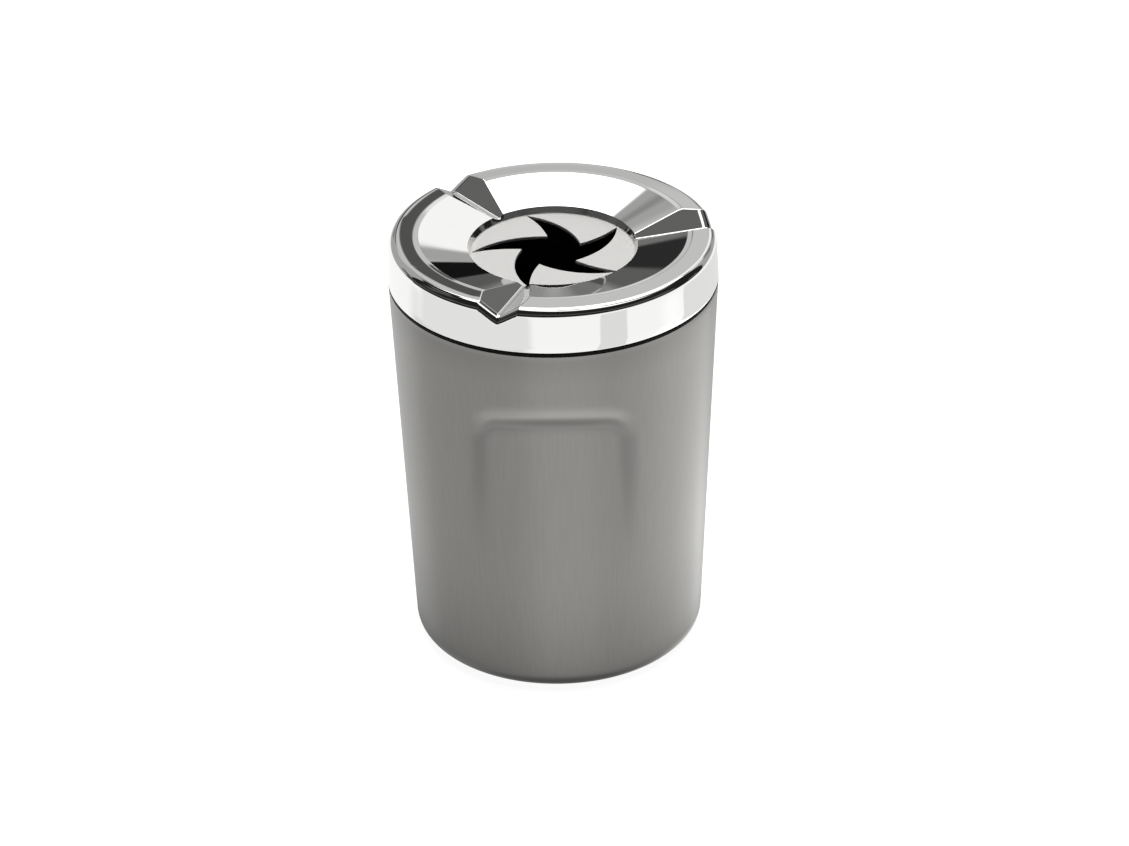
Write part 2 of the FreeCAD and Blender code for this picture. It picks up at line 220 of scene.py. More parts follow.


# Stainless steel, satin brushed along the cup: a grey sheen with fine upright streaks,
# with a painted highlight over the pressed panel's brow and along the lip, and painted
# shade in the panel's crease and a painted shadow of the lid close under the lip
# Attribute of the cup's points that carries the strength of its painted highlight and painted shade
painted_light_layer = "painted_light_marks"


def brushed_cup_steel():
    material, tree, shader = new_material("stainless_steel_satin_brushed")
    place = add_node(tree, "ShaderNodeTexCoord")
    streak_width = 0.35 * mm
    streak_length = 30 * mm
    stretch = add_node(tree, "ShaderNodeMapping", inputs={
        "Vector": place.outputs["Object"],
        "Scale": (1 / streak_width, 1 / streak_width, 1 / streak_length)})
    streaks = add_node(tree, "ShaderNodeTexNoise", inputs={
        "Vector": stretch.outputs["Vector"], "Scale": 1.0, "Detail": 3.0, "Roughness": 0.6})
    tone = add_node(tree, "ShaderNodeValToRGB", inputs={"Fac": streaks.outputs["Fac"]})
    tone.color_ramp.elements[0].position = 0.3
    tone.color_ramp.elements[0].color = linear("#8f8e8b") + [1]
    tone.color_ramp.elements[1].position = 0.7
    tone.color_ramp.elements[1].color = linear("#959491") + [1]
    gloss = add_node(tree, "ShaderNodeMapRange", inputs={
        "Value": streaks.outputs["Fac"], "To Min": 0.3, "To Max": 0.38})
    ridges = add_node(tree, "ShaderNodeBump", inputs={
        "Height": streaks.outputs["Fac"], "Strength": 0.08, "Distance": 0.02 * mm})
    marks = add_node(tree, "ShaderNodeAttribute", {"attribute_name": painted_light_layer})
    strengths = add_node(tree, "ShaderNodeSeparateXYZ", inputs={"Vector": marks.outputs["Vector"]})
    # Painted highlight: a lighter colour on the panel's brow and along the lip
    highlighted = add_node(tree, "ShaderNodeMix", {"data_type": "RGBA"}, {
        "Factor": strengths.outputs["X"], "A": tone.outputs["Color"], "B": linear("#a9a8a5") + [1]})
    # Painted shade: a darker colour in the panel's crease and close under the lid
    shaded = add_node(tree, "ShaderNodeMix", {"data_type": "RGBA"}, {
        "Factor": strengths.outputs["Y"], "A": highlighted.outputs["Result"], "B": linear("#838280") + [1]})
    tree.links.new(shaded.outputs["Result"], shader.inputs["Base Color"])
    tree.links.new(gloss.outputs["Result"], shader.inputs["Roughness"])
    tree.links.new(ridges.outputs["Normal"], shader.inputs["Normal"])
    shader.inputs["Metallic"].default_value = 1.0
    return material


# Zinc casting, polished and chrome plated: a mirror with a trace of waviness
def chrome_plate():
    material, tree, shader = new_material("zinc_casting_chrome_plated")
    place = add_node(tree, "ShaderNodeTexCoord")
    haze_size = 6 * mm
    haze = add_node(tree, "ShaderNodeTexNoise", inputs={
        "Vector": place.outputs["Object"], "Scale": 1 / haze_size, "Detail": 2.0})
    gloss = add_node(tree, "ShaderNodeMapRange", inputs={
        "Value": haze.outputs["Fac"], "To Min": 0.012, "To Max": 0.03})
    tree.links.new(gloss.outputs["Result"], shader.inputs["Roughness"])
    shader.inputs["Base Color"].default_value = linear("#f4f4f2") + [1]
    shader.inputs["Metallic"].default_value = 1.0
    return material


# Stainless steel sheet, fine matt finish: pale and even, with a soft sheen
def satin_plate_steel():
    material, tree, shader = new_material("stainless_steel_matt_sheet")
    place = add_node(tree, "ShaderNodeTexCoord")
    grit_size = 0.25 * mm
    grit = add_node(tree, "ShaderNodeTexNoise", inputs={
        "Vector": place.outputs["Object"], "Scale": 1 / grit_size, "Detail": 2.0})
    gloss = add_node(tree, "ShaderNodeMapRange", inputs={
        "Value": grit.outputs["Fac"], "To Min": 0.58, "To Max": 0.7})
    grain = add_node(tree, "ShaderNodeBump", inputs={
        "Height": grit.outputs["Fac"], "Strength": 0.05, "Distance": 0.01 * mm})
    tree.links.new(gloss.outputs["Result"], shader.inputs["Roughness"])
    tree.links.new(grain.outputs["Normal"], shader.inputs["Normal"])
    shader.inputs["Base Color"].default_value = linear("#f8f7f5") + [1]
    shader.inputs["Metallic"].default_value = 1.0
    return material


# Moulded polypropylene: near black, with a fine spark-eroded grain
def moulded_black_plastic():
    material, tree, shader = new_material("polypropylene_moulded_black")
    place = add_node(tree, "ShaderNodeTexCoord")
    grain_size = 0.4 * mm
    grain = add_node(tree, "ShaderNodeTexNoise", inputs={
        "Vector": place.outputs["Object"], "Scale": 1 / grain_size, "Detail": 2.0})
    gloss = add_node(tree, "ShaderNodeMapRange", inputs={
        "Value": grain.outputs["Fac"], "To Min": 0.45, "To Max": 0.65})
    relief = add_node(tree, "ShaderNodeBump", inputs={
        "Height": grain.outputs["Fac"], "Strength": 0.15, "Distance": 0.03 * mm})
    tree.links.new(gloss.outputs["Result"], shader.inputs["Roughness"])
    tree.links.new(relief.outputs["Normal"], shader.inputs["Normal"])
    shader.inputs["Base Color"].default_value = linear("#191919") + [1]
    shader.inputs["IOR"].default_value = 1.49
    return material


# Moulded silicone rubber: black and dull, with a faint bloom
def moulded_black_rubber():
    material, tree, shader = new_material("silicone_rubber_moulded_black")
    place = add_node(tree, "ShaderNodeTexCoord")
    bloom_size = 3 * mm
    bloom = add_node(tree, "ShaderNodeTexNoise", inputs={
        "Vector": place.outputs["Object"], "Scale": 1 / bloom_size, "Detail": 3.0})
    gloss = add_node(tree, "ShaderNodeMapRange", inputs={
        "Value": bloom.outputs["Fac"], "To Min": 0.6, "To Max": 0.8})
    tree.links.new(gloss.outputs["Result"], shader.inputs["Roughness"])
    shader.inputs["Base Color"].default_value = linear("#0b0b0b") + [1]
    shader.inputs["IOR"].default_value = 1.41
    shader.inputs["Specular IOR Level"].default_value = 0.25
    return material


# Steel screws, bright zinc plated: cool grey with a slight blue cast
def zinc_plated_steel():
    material, tree, shader = new_material("steel_bright_zinc_plated")
    place = add_node(tree, "ShaderNodeTexCoord")
    spangle_size = 0.6 * mm
    spangle = add_node(tree, "ShaderNodeTexNoise", inputs={
        "Vector": place.outputs["Object"], "Scale": 1 / spangle_size, "Detail": 2.0})
    gloss = add_node(tree, "ShaderNodeMapRange", inputs={
        "Value": spangle.outputs["Fac"], "To Min": 0.22, "To Max": 0.4})
    tree.links.new(gloss.outputs["Result"], shader.inputs["Roughness"])
    shader.inputs["Base Color"].default_value = linear("#c6c9cd") + [1]
    shader.inputs["Metallic"].default_value = 1.0
    return material


# Drawn cup, turned from one section, with the pressed panel let into its front
cup_taper = (cup_mouth_radius - cup_foot_radius) / cup_height


def wall_radius(height):
    return cup_foot_radius + cup_taper * height


def panel_inset(across, height):
    """Distance inside the panel's edge, and how much nearer its top is than its sides."""
    beside = abs(across) - (panel_half_width - panel_corner)
    top = panel_top - panel_arch * (across / panel_half_width) ** 2
    above = height - (top - panel_corner)
    inset = panel_corner - math.hypot(max(beside, 0), max(above, 0)) - min(max(beside, above), 0)
    return inset, above - beside


def panel_recess(across, height):
    """How far the panel lies behind the wall at a place on the front of the cup."""
    run = (height - panel_fade) / (panel_top - panel_fade)
    floor = panel_depth * smooth_step(run, -panel_fade_margin, 1 + panel_fade_margin)
    inset = panel_inset(across, height)[0]
    return floor * smooth_step(inset, -panel_brow, panel_foot)


def painted_light_marks(across, height):
    """Strength of the painted highlight on the brow over the panel, and of the painted shade in the crease
    inside its edge.
    """
    inset, lead = panel_inset(across, height)
    at_top = smooth_step(lead, brow_side_low, brow_side_high)
    highlight_strength = math.exp(-((inset + panel_brow) / brow_highlight_reach) ** 2) * at_top
    shade_strength = math.exp(-((inset - panel_brow) / crease_shade_reach) ** 2)
    return highlight_strength, shade_strength * smooth_step(height, crease_shade_low, crease_shade_high)


def cup_section():
    """Half section of the cup from the middle of its base, up outside, and down inside."""
    section = [(dish_radius * share, dish_height, False) for share in base_shares]
    section += [(dish_radius + dish_slope * share, dish_height * (1 - smooth_step(share, 0, 1)), False)
                for share in slope_shares]
    lean = math.atan(cup_taper)
    for inside in (False, True):
        inset = cup_wall if inside else 0
        bend = cup_corner - inset
        centre_height = cup_corner
        centre_radius = wall_radius(centre_height) - cup_corner / math.cos(lean)
        corner = [(centre_radius + bend * math.sin(turn), centre_height - bend * math.cos(turn), False)
                  for turn in spread(0, math.pi / 2 + lean, cup_corner_steps)]
        stages = (corner[-1][1], panel_top - panel_band_below, panel_top + panel_band_above,
                  cup_height - cup_lip_round)
        counts = inside_rows if inside else outside_rows
        heights = [height for low, high, count in zip(stages, stages[1:], counts)
                   for height in spread(low, high, count)[1:]]
        wall = [(wall_radius(height) - inset, height, True) for height in heights]
        side = corner + wall
        if inside:
            lip_middle = wall_radius(cup_height) - cup_wall / 2
            section += [(lip_middle + (cup_wall / 2) * math.cos(turn),
                         cup_height - cup_lip_round + cup_lip_round * math.sin(turn), False)
                        for turn in spread(0, math.pi, cup_lip_steps)[1:-1]]
            side.reverse()
        section += side
    section += [(dish_radius + dish_slope * share,
                 cup_wall + dish_height * (1 - smooth_step(share, 0, 1)), False)
                for share in reversed(slope_shares)]
    section += [(dish_radius * share, dish_height + cup_wall, False) for share in reversed(base_shares)]
    return section


def cup_turns():
    """Bearings of the cup's columns, close together where the panel's upright walls stand."""
    front = -90
    # Degrees from the front at which each stretch starts, and its step
    stretches = [(-180, 4), (-36, 2), (-33, 0.25), (-22, 1), (22, 0.25), (33, 2), (36, 4)]
    ends = [start for start, step in stretches[1:]] + [180]
    turns = []
    for (start, step), end in zip(stretches, ends):
        count = round((end - start) / step)
        turns += [math.radians(front + start + (end - start) * number / count) for number in range(count)]
    return turns


def build_cup(material):
    turns = cup_turns()
    columns = len(turns)
    section = cup_section()
    points = []
    marks = []
    for radius, height, on_wall in section:
        for turn in turns:
            reach = radius
            # Painted highlight along the lip of the cup
            highlight_strength, shade_strength = (1 if height > cup_height - 2 * cup_lip_round else 0), 0
            if on_wall and math.sin(turn) < 0:
                reach -= panel_recess(radius * math.cos(turn), height)
                # Painted highlight on the panel's brow and painted shade in its crease
                brow_highlight, shade_strength = painted_light_marks(radius * math.cos(turn), height)
                highlight_strength = max(highlight_strength, brow_highlight)
            # Painted shadow of the lid: darker close under the lip
            if on_wall:
                lid_shadow = lid_shadow_strength * smooth_step(height, cup_height - lid_shadow_reach, cup_height)
                shade_strength = max(shade_strength, lid_shadow)
            points.append((reach * math.cos(turn), reach * math.sin(turn), height))
            marks.append((highlight_strength, shade_strength, 0))
    faces = ring_faces(len(section), columns, False)
    faces.append(tuple(reversed(range(columns))))
    last = (len(section) - 1) * columns
    faces.append(tuple(range(last, last + columns)))
    piece = mesh_piece("cup_shell", points, faces, material, "cup_body", "cup")
    # The painted highlight and painted shade strengths go into an attribute that the material reads
    painted_light_attribute = piece.data.attributes.new(painted_light_layer, "FLOAT_VECTOR", "POINT")
    for place, mark in zip(painted_light_attribute.data, marks):
        place.vector = mark
    return piece


# Cast lid: the section is turned round the axis, and its columns bend to follow the edges of the three rests
lid_top_radius = lid_skirt_radius - lid_draft
funnel_end = lid_rim - funnel_drop


def skirt_radius_at(height):
    return lid_skirt_radius - lid_draft * (height - lid_base) / (lid_rim - lid_base)


shoulder_start = skirt_radius_at(lid_rim - shoulder) - shoulder


def plain_height(radius):
    """Height of the lid's upper face away from the rests."""
    if radius >= rim_inner_radius:
        return lid_rim - rim_crown * (radius - rim_inner_radius)
    bevel_foot = lid_rim - rim_bevel
    if radius >= funnel_top_radius:
        share = (radius - funnel_top_radius) / (rim_inner_radius - funnel_top_radius)
        return bevel_foot + rim_bevel * share
    share = (radius - neck_radius) / (funnel_top_radius - neck_radius)
    return funnel_end + (bevel_foot - funnel_end) * share


def rest_bottom(radius):
    return lid_rim - rest_depth - rest_fall * (lid_top_radius - radius)


def rest_half_width(radius, height):
    return rest_floor + rest_flare * max(0, height - rest_bottom(radius))


def rest_height(aside, radius):
    return rest_bottom(radius) + max(0, abs(aside) - rest_floor) / rest_flare


def lid_columns():
    """Columns round the lid: places across a rest, then places along the rim to the next rest."""
    columns = []
    for rest in range(rest_count):
        right = [rest_foot, *rest_shares]
        left = [-share for share in reversed(right)]
        columns += [("rest", rest, share) for share in (*left, None, *right)]
        for step in range(1, land_columns):
            columns.append(("land", rest, step / land_columns))
    return columns


def across_rest(share, half_width):
    """Distance aside from the middle of a rest for a column."""
    if share is None:
        return 0
    return math.copysign(rest_floor + abs(share) * (half_width - rest_floor), share)


def lid_point(column, radius, height, half_width):
    """Place of a column at a radius and height, where a rest is so wide."""
    zone, rest, share = column
    middle = rest_turn + rest * 2 * math.pi / rest_count
    edge = math.asin(half_width / radius)
    if zone == "rest":
        turn = middle + math.asin(across_rest(share, half_width) / radius)
    else:
        turn = middle + edge + share * (2 * math.pi / rest_count - 2 * edge)
    return (radius * math.cos(turn), radius * math.sin(turn), height)


def upper_height(column, radius, half_width):
    """Height of the upper face in a column, down in a rest or on the land beside it."""
    zone, share = column[0], column[2]
    if zone == "land" or abs(share or 0) == 1:
        return plain_height(radius)
    return min(plain_height(radius), rest_height(across_rest(share, half_width), radius))


def build_lid(material):
    columns = lid_columns()
    rows = []
    crease_rows = []

    neck_width = rest_half_width(neck_radius, funnel_end)
    neck_slope = (neck_radius - throat_radius) / (funnel_end - plate_face)
    for share in spread(0, 1, neck_rows + 1)[:-1]:
        row = []
        for column in columns:
            top = upper_height(column, neck_radius, neck_width)
            height = plate_face + share * (top - plate_face)
            radius = throat_radius + neck_slope * (height - plate_face)
            row.append(lid_point(column, radius, height, neck_width))
        rows.append(row)

    neck_row = len(rows)
    upper_radii = (spread(neck_radius, funnel_top_radius, funnel_rows + 1)[:-1]
                   + spread(funnel_top_radius, rim_inner_radius, bevel_rows + 1)[:-1]
                   + spread(rim_inner_radius, shoulder_start, rim_rows))
    crease_rows += [neck_row + funnel_rows, neck_row + funnel_rows + bevel_rows]
    for radius in upper_radii:
        half_width = rest_half_width(radius, plain_height(radius))
        rows.append([lid_point(column, radius, upper_height(column, radius, half_width), half_width)
                     for column in columns])

    skirt_width = rest_half_width(shoulder_start, plain_height(shoulder_start))
    tops = [upper_height(column, shoulder_start, skirt_width) for column in columns]
    for turn in spread(0, math.pi / 2, shoulder_rows + 1)[1:]:
        row = []
        for column, top in zip(columns, tops):
            start = skirt_radius_at(top - shoulder) - shoulder
            row.append(lid_point(column, start + shoulder * math.sin(turn),
                                 top - shoulder * (1 - math.cos(turn)), skirt_width))
        rows.append(row)
    for share in spread(0, 1, skirt_rows + 1)[1:]:
        row = []
        for column, top in zip(columns, tops):
            height = (top - shoulder) + share * (lid_base + skirt_edge - (top - shoulder))
            row.append(lid_point(column, skirt_radius_at(height), height, skirt_width))
        rows.append(row)
    for turn in spread(0, math.pi / 2, skirt_edge_rows + 1)[1:]:
        radius = lid_skirt_radius - skirt_edge * (1 - math.cos(turn))
        height = lid_base + skirt_edge * (1 - math.sin(turn))
        rows.append([lid_point(column, radius, height, skirt_width) for column in columns])

    underside_at_lip = plain_height(seat_radius + seat_lip) - lid_wall
    underside = [
        (lid_skirt_radius - lid_wall, lid_base),
        (lid_top_radius - lid_wall, lid_rim - lid_wall - shoulder / 2),
        (lid_top_radius - lid_wall - shoulder / 2, lid_rim - lid_wall),
        (funnel_top_radius, lid_rim - rim_bevel - lid_wall),
        (seat_radius + seat_lip, underside_at_lip),
        (seat_radius + seat_lip, plate_face - seat_lip_height),
        (seat_radius, plate_face - seat_lip_height),
        (seat_radius, plate_face),
    ]
    for radius, height in underside:
        row = []
        for column in columns:
            zone, share = column[0], column[2]
            low = height
            if zone == "rest" and height > plate_face:
                low = min(height, rest_height(across_rest(share, skirt_width), radius) - trough_wall)
            row.append(lid_point(column, radius, low, skirt_width))
        crease_rows.append(len(rows))
        rows.append(row)
    crease_rows.append(0)

    points = [point for row in rows for point in row]
    faces = [tuple(reversed(face)) for face in ring_faces(len(rows), len(columns), True)]
    piece = mesh_piece("lid_casting", points, faces, material, "lid_body", "lid")

    # The edges that stay crisp on the casting get a small rounding, so that they catch the light
    count = len(columns)
    edge_columns = [number for number, column in enumerate(columns)
                    if column[0] == "rest" and column[2] is not None and abs(column[2]) in (1, rest_foot)]
    upper_end = neck_row + len(upper_radii) + shoulder_rows
    weights = piece.data.attributes.new("bevel_weight_edge", "FLOAT", "EDGE")
    for edge in piece.data.edges:
        first, second = edge.vertices
        same_row = first // count == second // count
        same_column = first % count == second % count
        if same_row and first // count == neck_row:
            weights.data[edge.index].value = neck_edge_round / lid_edge_round
        elif same_row and first // count in crease_rows:
            weights.data[edge.index].value = 1.0
        elif same_column and first % count in edge_columns:
            if neck_row <= min(first, second) // count and max(first, second) // count < upper_end:
                weights.data[edge.index].value = 1.0
    rounding = piece.modifiers.new("edge_rounding", "BEVEL")
    rounding.limit_method = "WEIGHT"
    rounding.width = lid_edge_round
    rounding.segments = edge_segments
    rounding.harden_normals = True
    return piece


# Snuffer plate: a disc stamped through with five curved arms
def bulged_edge(start, end, bulge, steps):
    """Points of an arc from start towards end that rises over its chord, to the right of it."""
    chord = end - start
    along = chord.normalized()
    right = Vector((along.y, -along.x))
    radius = chord.length ** 2 / (8 * bulge) + bulge / 2
    centre = (start + end) / 2 + right * (bulge - radius)
    half_turn = math.asin(chord.length / 2 / radius)
    return [centre + Matrix.Rotation(turn, 2) @ (right * radius)
            for turn in spread(-half_turn, half_turn, steps)]


def polar(radius, turn):
    return Vector((radius * math.cos(turn), radius * math.sin(turn)))


def pinwheel_outline():
    """Outline of the opening, arm after arm."""
    outline = []
    step = 2 * math.pi / arm_count
    for arm in range(arm_count):
        turn = arm_turn + arm * step
        tip = polar(arm_tip_radius, turn)
        far_point = polar(blade_radius, turn - blade_lag - step)
        near_point = polar(blade_radius, turn - blade_lag)
        outline += bulged_edge(far_point, tip, long_edge_bulge, long_edge_steps)
        short_edge = bulged_edge(near_point, tip, short_edge_bulge, short_edge_steps)
        outline += list(reversed(short_edge))[1:-1]
    return outline


def add_outline(curve, outline):
    spline = curve.splines.new("POLY")
    spline.points.add(len(outline) - 1)
    for point, place in zip(spline.points, outline):
        point.co = (place.x, place.y, 0, 1)
    spline.use_cyclic_u = True


def build_plate(material):
    curve = bpy.data.curves.new("plate_outline", "CURVE")
    curve.dimensions = "2D"
    curve.fill_mode = "BOTH"
    thickness = plate_high.z - plate_low.z
    curve.extrude = thickness / 2 - plate_edge
    curve.bevel_depth = plate_edge
    curve.bevel_resolution = edge_segments
    curve.offset = -plate_edge
    plate_radius = plate_high.x
    add_outline(curve, [polar(plate_radius, 2 * math.pi * step / circle_steps)
                        for step in range(circle_steps)])
    add_outline(curve, pinwheel_outline())
    form = bpy.data.objects.new("plate_form", curve)
    scene.collection.objects.link(form)
    bpy.context.view_layer.update()
    mesh = bpy.data.meshes.new_from_object(form.evaluated_get(bpy.context.evaluated_depsgraph_get()))
    mesh.transform(Matrix.Translation((0, 0, (plate_low.z + plate_high.z) / 2)))
    bpy.data.objects.remove(form)
    mesh.shade_smooth()
    mesh.set_sharp_from_angle(angle=plate_crease)
    mesh.materials.clear()
    mesh.materials.append(material)
    piece = bpy.data.objects.new("pinwheel_plate", mesh)
    scene.collection.objects.link(piece)
    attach(piece, "lid_body")
    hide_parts("snuffer_plate")
    return piece


# Bead of the seal that fills the seam between cup and lid, rounded on its outer edge
def build_seal_bead(material):
    low = cup_height + seal_bead_clearance
    high = lid_base - seal_bead_clearance
    outer = lid_skirt_radius - seal_bead_inset
    section = [(outer - seal_bead_width, low)]
    for centre, start in ((low + seal_bead_round, -math.pi / 2), (high - seal_bead_round, 0)):
        section += [(outer - seal_bead_round * (1 - math.cos(turn)),
                     centre + seal_bead_round * math.sin(turn))
                    for turn in spread(start, start + math.pi / 2, bead_round_steps)]
    section.append((outer - seal_bead_width, high))
    turns = [2 * math.pi * step / circle_steps for step in range(circle_steps)]
    points = [(radius * math.cos(turn), radius * math.sin(turn), height)
              for radius, height in section for turn in turns]
    return mesh_piece("seal_bead", points, ring_faces(len(section), len(turns), True), material,
                      "lid_body")


def finish_node(name, material):
    """Give a carried-over CAD node its finish."""
    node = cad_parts[name]
    node.data.materials.clear()
    node.data.materials.append(material)


build_cup(brushed_cup_steel())
build_lid(chrome_plate())
build_plate(satin_plate_steel())
finish_node("lid_collar", moulded_black_plastic())
seal_rubber = moulded_black_rubber()
build_seal_bead(seal_rubber)
finish_node("seal_ring", seal_rubber)
finish_node("lid_screws", zinc_plated_steel())

# Floor: white card that keeps the object's shadow; mirrors see the studio below the horizon instead
floor_size = 8.0
floor_lift = 0.9
# Shades on the floor as mirrors see it: where each starts and ends from the axis, and its strength
foot_shades = [(34 * mm, 82 * mm, 0.34), (34 * mm, 46 * mm, 0.28)]


def floor_card():
    material = bpy.data.materials.new("white_card_floor")
    material.use_nodes = True
    tree = material.node_tree
    tree.nodes.clear()
    path = add_node(tree, "ShaderNodeLightPath")
    card = add_node(tree, "ShaderNodeBsdfDiffuse", inputs={"Color": linear("#f4f4f3") + [1]})
    lift = add_node(tree, "ShaderNodeEmission", inputs={"Color": (1, 1, 1, 1), "Strength": floor_lift})
    seen = add_node(tree, "ShaderNodeAddShader", inputs={
        0: card.outputs["BSDF"], 1: lift.outputs["Emission"]})
    lit = add_node(tree, "ShaderNodeMixShader", inputs={
        0: path.outputs["Is Camera Ray"], 1: card.outputs["BSDF"], 2: seen.outputs["Shader"]})
    place = add_node(tree, "ShaderNodeTexCoord")
    reach = add_node(tree, "ShaderNodeVectorMath", {"operation": "LENGTH"}, {0: place.outputs["Object"]})
    wide, close = [add_node(tree, "ShaderNodeMapRange", {"interpolation_type": "SMOOTHSTEP"}, {
        "Value": reach.outputs["Value"], "From Min": start, "From Max": end,
        "To Min": strength, "To Max": 0.0}) for start, end, strength in foot_shades]
    shades = add_node(tree, "ShaderNodeMath", {"operation": "ADD"}, {
        0: wide.outputs["Result"], 1: close.outputs["Result"]})
    clear = add_node(tree, "ShaderNodeBsdfTransparent")
    dark = add_node(tree, "ShaderNodeEmission", inputs={"Strength": 0.0})
    below = add_node(tree, "ShaderNodeMixShader", inputs={
        0: shades.outputs["Value"], 1: clear.outputs["BSDF"], 2: dark.outputs["Emission"]})
    mirrored = add_node(tree, "ShaderNodeMixShader", inputs={
        0: path.outputs["Is Glossy Ray"], 1: lit.outputs["Shader"], 2: below.outputs["Shader"]})
    add_node(tree, "ShaderNodeOutputMaterial", inputs={"Surface": mirrored.outputs["Shader"]})
    return material


floor_mesh = bpy.data.meshes.new("floor")
half_floor = floor_size / 2
floor_mesh.from_pydata([(-half_floor, -half_floor, 0), (half_floor, -half_floor, 0),
                        (half_floor, half_floor, 0), (-half_floor, half_floor, 0)], [], [(0, 1, 2, 3)])
floor = bpy.data.objects.new("floor", floor_mesh)
scene.collection.objects.link(floor)
floor.data.materials.append(floor_card())

# Studio: white above and below, grey walls, and a dark room behind the camera
# Bearings in degrees, 0 behind the object and positive to the right; elevations above the horizon
# Tones from straight below to straight above, by elevation
studio_tones = [(-90, 0.5), (-68, 0.6), (-56, 1.15), (-46, 1.15), (-38, 1.03), (-21, 1.0), (-4, 1.0),
                (0, 0.45), (4, 0.38), (50, 0.38), (57, 1.3), (90, 1.5)]
room_tone = 0.015
room_softness = 1.2
# Edges of the dark room: a plane's normal, and how far it is moved along it
room_edges = [((0.11, -1, 0.225), -0.4), ((-0.15, -0.2, -1), -0.915), ((-0.055, 0, 1), -0.065)]
# Panels hung in the studio, each over those before it where they overlap:
# bearing, elevation, roll, half width, half height, softness, tone
panels = [
    # Ceiling light and back wall
    (0.5, 60, 0, 22, 13.2, 1.0, 2.5),
    (-1.5, 27.5, 0, 8.5, 19.5, 0.8, 0.57),
    (-3.5, 12.2, 0, 3, 2.6, 0.8, 0.67),
    (-9.8, 36, 0, 1.2, 3, 0.6, 0.7),
    (-0.5, 20.5, 0, 4, 1.6, 1.0, 0.5),
    # White wall mirrored by the left of the funnel
    (13.8, 40, 0, 5.6, 7, 1.0, 1.0),
    (15, 27.2, 0, 5, 7, 1.4, 1.0),
    # Grey cards mirrored by the front of the funnel
    (-0.6, 28.6, 0, 3, 1.6, 0.5, 0.29),
    (-5, 28, 0, 1.35, 1.9, 0.5, 0.19),
    # Dark flags mirrored by the left of the rim
    (-6.75, 27.5, 0, 0.6, 3.2, 0.2, 0.085),
    (-5.6, 32.4, -29, 0.6, 2.1, 0.2, 0.085),
    (-5.45, 22.7, 20, 0.65, 2.5, 0.2, 0.085),
    (-5.45, 17.8, 19, 0.5, 2.6, 0.25, 0.16),
    # Dark corner mirrored by the lower left of the funnel
    (3.3, 16.8, 0, 1.2, 2, 0.4, 0.1),
    (3.5, 5, 0, 4.5, 3.5, 2.5, 0.1),
    (7, 10.3, 0, 4.5, 3.5, 0.4, 0.007),
    (5.2, 15, 0, 0.8, 1.2, 0.3, 1.0),
    # Dark and grey cards mirrored by the right of the funnel
    (-6.6, 6.5, 25, 2.2, 6, 0.8, 0.11),
    (-11.2, 17.2, 19, 2.8, 8.6, 1.2, 0.025),
    (-14.6, 24.4, 19, 2.6, 2.2, 1.2, 0.17),
    (-17.2, 31.5, 0, 4, 2.6, 3.0, 0.6),
    (-19, 40.6, 0, 3, 1.2, 1.2, 0.26),
    # Cards mirrored by the rests and the edges beside them
    (-2, -1, 0, 5, 3, 1.0, 0.25),
    (4.5, -13, 0, 6, 4, 1.0, 0.42),
    (-12.6, -8, 0, 5, 4, 1.0, 0.62),
    (-40, 50, 0, 11.5, 7, 1.0, 0.02),
    (91, 85, 0, 4, 4, 0.5, 0.125),
    (68, 63, 0, 5, 12, 1.0, 0.12),
    (-58, 50, 0, 5, 5, 1.0, 0.125),
    (33, 24.4, 0, 3.5, 6, 1.0, 0.15),
    # Cards mirrored by the neck and the shoulder
    (29, 36, 0, 3, 4, 1.0, 1.0),
    (71, 9, 0, 5, 3, 1.0, 0.13),
    (24, 13, 0, 4, 5, 1.5, 0.17),
    (-60, 17.5, 0, 5, 4, 1.0, 0.06),
    (-74, 8, 0, 9, 9, 2.0, 0.07),
    (-80, 40, 0, 6, 12, 1.5, 0.08),
    (-22.3, 15, 0, 2.5, 2.5, 0.8, 0.1),
    (180, 27, 0, 60, 4.5, 3.0, 0.08),
    (-95, 14, 0, 15, 4, 3.0, 0.09),
    (-118, 20, 0, 14, 5, 3.0, 0.075),
    (118, 20, 0, 22, 6, 3.0, 0.075),
    (98, 15, 0, 8, 4, 2.0, 0.1),
    # Low lights mirrored by the sides of the cup
    (52, -41, 0, 38, 9, 8.0, 1.35),
    (38, -40, 0, 24, 9, 8.0, 2.1),
    (23, -40, 0, 12, 9, 6.0, 3.6),
    (-112, -40, 0, 40, 9, 6.0, 0.72),
    # Low cards mirrored as bands by the skirt of the lid
    (-122, -25, 0, 39.5, 12, 3.0, 0.82),
    (137.5, -25, 0, 9, 10, 0.6, 0.78),
    (24, -26, 0, 18, 6, 0.6, 0.8),
    (58, -25, 0, 18, 6, 0.6, 0.8),
]


def direction(bearing, elevation):
    across = math.cos(math.radians(elevation))
    return Vector((across * math.sin(math.radians(bearing)), across * math.cos(math.radians(bearing)),
                   math.sin(math.radians(elevation))))


def panel_edges(bearing, elevation, roll, half_width, half_height):
    """Inward normals of the four planes through the object and a panel's edges."""
    centre = direction(bearing, elevation)
    right = direction(bearing + 90, 0)
    upward = right.cross(centre)
    tilt = Matrix.Rotation(math.radians(-roll), 3, centre)
    edges = []
    for side, half in ((tilt @ right, half_width), (tilt @ upward, half_height)):
        reach = math.radians(half)
        edges.append(centre * math.sin(reach) - side * math.cos(reach))
        edges.append(centre * math.sin(reach) + side * math.cos(reach))
    return edges


def tone_ramp(tree, elevation, tones):
    share = add_node(tree, "ShaderNodeMapRange", inputs={
        "Value": elevation, "From Min": -90.0, "From Max": 90.0, "To Min": 0.0, "To Max": 1.0})
    ramp = add_node(tree, "ShaderNodeValToRGB", inputs={"Fac": share.outputs["Result"]})
    stops = ramp.color_ramp.elements
    while len(stops) < len(tones):
        stops.new(0.5)
    for stop, (degrees, tone) in zip(stops, tones):
        stop.position = (degrees + 90) / 180
        stop.color = (tone, tone, tone, 1)
    return ramp.outputs["Color"]


